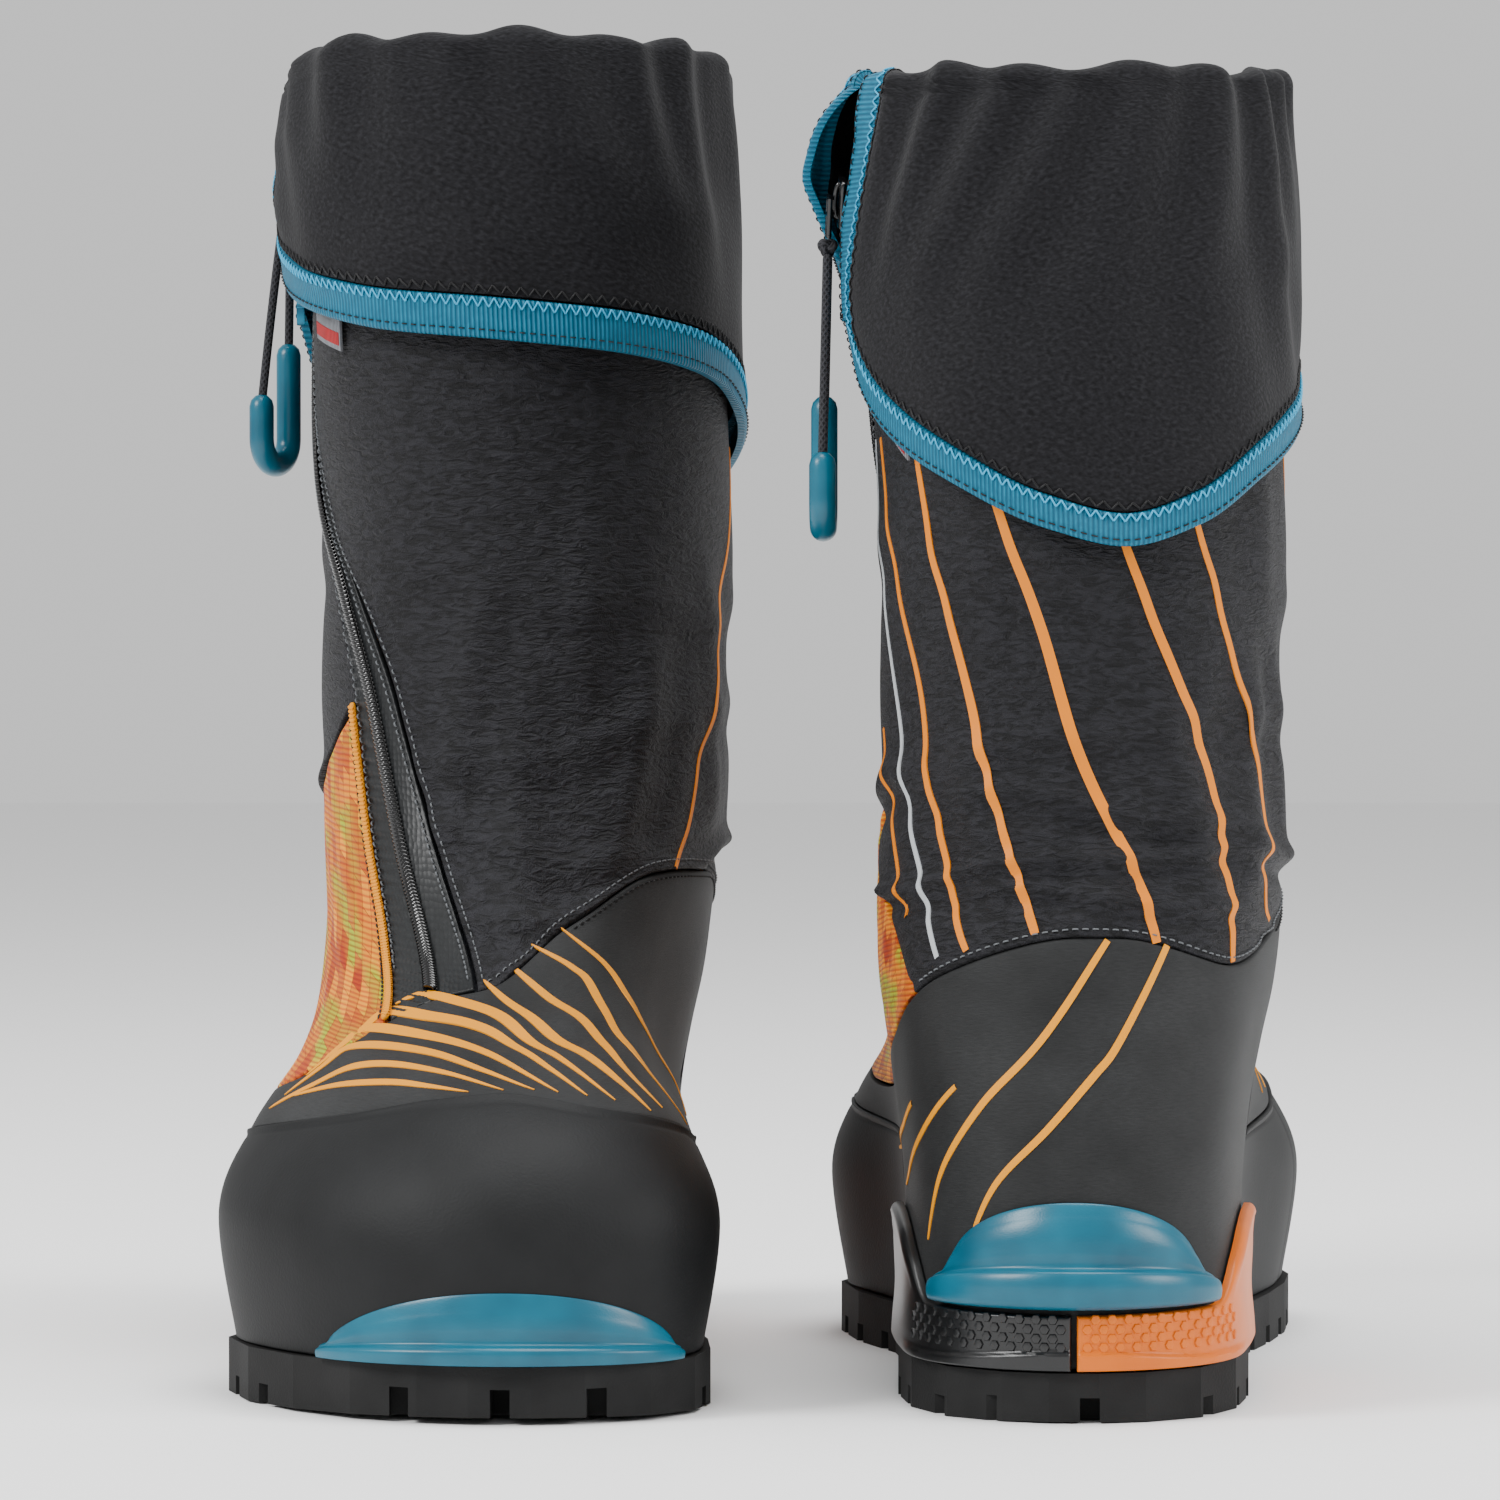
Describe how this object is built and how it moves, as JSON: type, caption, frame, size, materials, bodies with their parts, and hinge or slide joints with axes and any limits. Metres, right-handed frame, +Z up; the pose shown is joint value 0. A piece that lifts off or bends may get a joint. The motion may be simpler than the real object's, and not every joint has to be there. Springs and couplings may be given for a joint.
{
  "type": "mountaineering boots",
  "caption": "Pair of insulated double boots for high mountains, each with a built-in gaiter, a turned-down cuff, a diagonal zip with a corded pull, and toe and heel welts for crampons.",
  "frame": {"origin": "on the ground, at the centre of the pair's footprint", "axes": "+Z up. The right boot stands at -X with its toe to -Y, and the left boot at +X with its toe to +Y, so that both lateral sides face -X. Each foot is turned 2.5 degrees off Y."},
  "size_m": [0.2996, 0.3205, 0.3624],
  "materials": {
    "binding_tape": "ribbed woven binding",
    "black_foam": "dense moulded foam",
    "black_plastic": "polished black plastic",
    "carbon_board": "stiff composite board",
    "cord_sheath": "braided polyester sheath",
    "cuff_fabric": "fine stretch knit",
    "footbed_foam": "felt-topped foam",
    "gaiter_fabric": "crinkled stretch fabric",
    "jacquard": "woven blocks of two yellows",
    "label_tape": "woven label tape",
    "liner_foam": "foam lined with knit",
    "liner_trim": "woven trim",
    "orange_plastic": "satin moulded thermoplastic",
    "rand_rubber": "satin vulcanised rubber",
    "rubberised_tape": "rubber-coated zip tape",
    "shell_fabric": "coated fabric with a fine brushed grain",
    "sole_rubber": "matte moulded tread rubber",
    "teal_plastic": "satin moulded thermoplastic"
  },
  "bodies": {
    "left_boot": {"left_ankle_panel": "jacquard", "left_cuff": "cuff_fabric", "left_cuff_binding": "binding_tape", "left_footbed": "footbed_foam", "left_gaiter": "gaiter_fabric", "left_heel_counter_lateral": "black_plastic", "left_heel_counter_medial": "orange_plastic", "left_heel_welt": "teal_plastic", "left_inner_boot": "liner_foam", "left_inner_boot_flap": "liner_trim", "left_inner_boot_pull_loop": "liner_trim", "left_inner_boot_strap": "liner_trim", "left_label_front": "label_tape", "left_label_rear": "label_tape", "left_lasting_board": "carbon_board", "left_lower_shell": "shell_fabric", "left_midsole": "black_foam", "left_outsole": "sole_rubber", "left_toe_rand": "rand_rubber", "left_toe_welt": "teal_plastic", "left_zip_coil": "black_plastic", "left_zip_tape": "rubberised_tape"},
    "left_slider": {"left_zip_slider": "black_plastic"},
    "left_tab": {"left_zip_tab": "black_plastic"},
    "left_pull": {"left_pull_knot": "cord_sheath", "left_pull_cord_short": "cord_sheath", "left_pull_cord_long": "cord_sheath", "left_pull_hook": "teal_plastic"},
    "right_boot": {"right_ankle_panel": "jacquard", "right_cuff": "cuff_fabric", "right_cuff_binding": "binding_tape", "right_footbed": "footbed_foam", "right_gaiter": "gaiter_fabric", "right_heel_counter_lateral": "black_plastic", "right_heel_counter_medial": "orange_plastic", "right_heel_welt": "teal_plastic", "right_inner_boot": "liner_foam", "right_inner_boot_flap": "liner_trim", "right_inner_boot_pull_loop": "liner_trim", "right_inner_boot_strap": "liner_trim", "right_label_front": "label_tape", "right_label_rear": "label_tape", "right_lasting_board": "carbon_board", "right_lower_shell": "shell_fabric", "right_midsole": "black_foam", "right_outsole": "sole_rubber", "right_toe_rand": "rand_rubber", "right_toe_welt": "teal_plastic", "right_zip_coil": "black_plastic", "right_zip_tape": "rubberised_tape"},
    "right_slider": {"right_zip_slider": "black_plastic"},
    "right_tab": {"right_zip_tab": "black_plastic"},
    "right_pull": {"right_pull_knot": "cord_sheath", "right_pull_cord_short": "cord_sheath", "right_pull_cord_long": "cord_sheath", "right_pull_hook": "teal_plastic"}
  },
  "joints": [
    {"name": "left_boot_apart", "type": "slide", "parent": "right_boot", "child": "left_boot", "axis": [1, 0, 0], "range_m": [0, 0.25]},
    {"name": "left_zip_slide", "type": "slide", "parent": "left_boot", "child": "left_slider", "axis": [0.0351, -0.3675, 0.9294], "range_m": [-0.016, 0.006]},
    {"name": "left_tab_hinge", "type": "hinge", "parent": "left_slider", "child": "left_tab", "pos_m": [0.01137, -0.0838, 0.31284], "axis": [-0.1052, 0.9234, 0.3691], "range_deg": [0, 75]},
    {"name": "left_pull_swing", "type": "hinge", "parent": "left_tab", "child": "left_pull", "pos_m": [0.01087, -0.07859, 0.29964], "axis": [0.999, -0.0436, 0], "range_deg": [-20, 20]},
    {"name": "right_zip_slide", "type": "slide", "parent": "right_boot", "child": "right_slider", "axis": [0.0829, 0.3052, 0.9487], "range_m": [-0.02, 0.002]},
    {"name": "right_tab_hinge", "type": "hinge", "parent": "right_slider", "child": "right_tab", "pos_m": [-0.14064, 0.09357, 0.33368], "axis": [0.2315, 0.92, -0.3162], "range_deg": [0, 75]},
    {"name": "right_pull_swing", "type": "hinge", "parent": "right_tab", "child": "right_pull", "pos_m": [-0.14181, 0.08924, 0.32021], "axis": [0.999, -0.0436, 0], "range_deg": [-20, 20]}
  ]
}
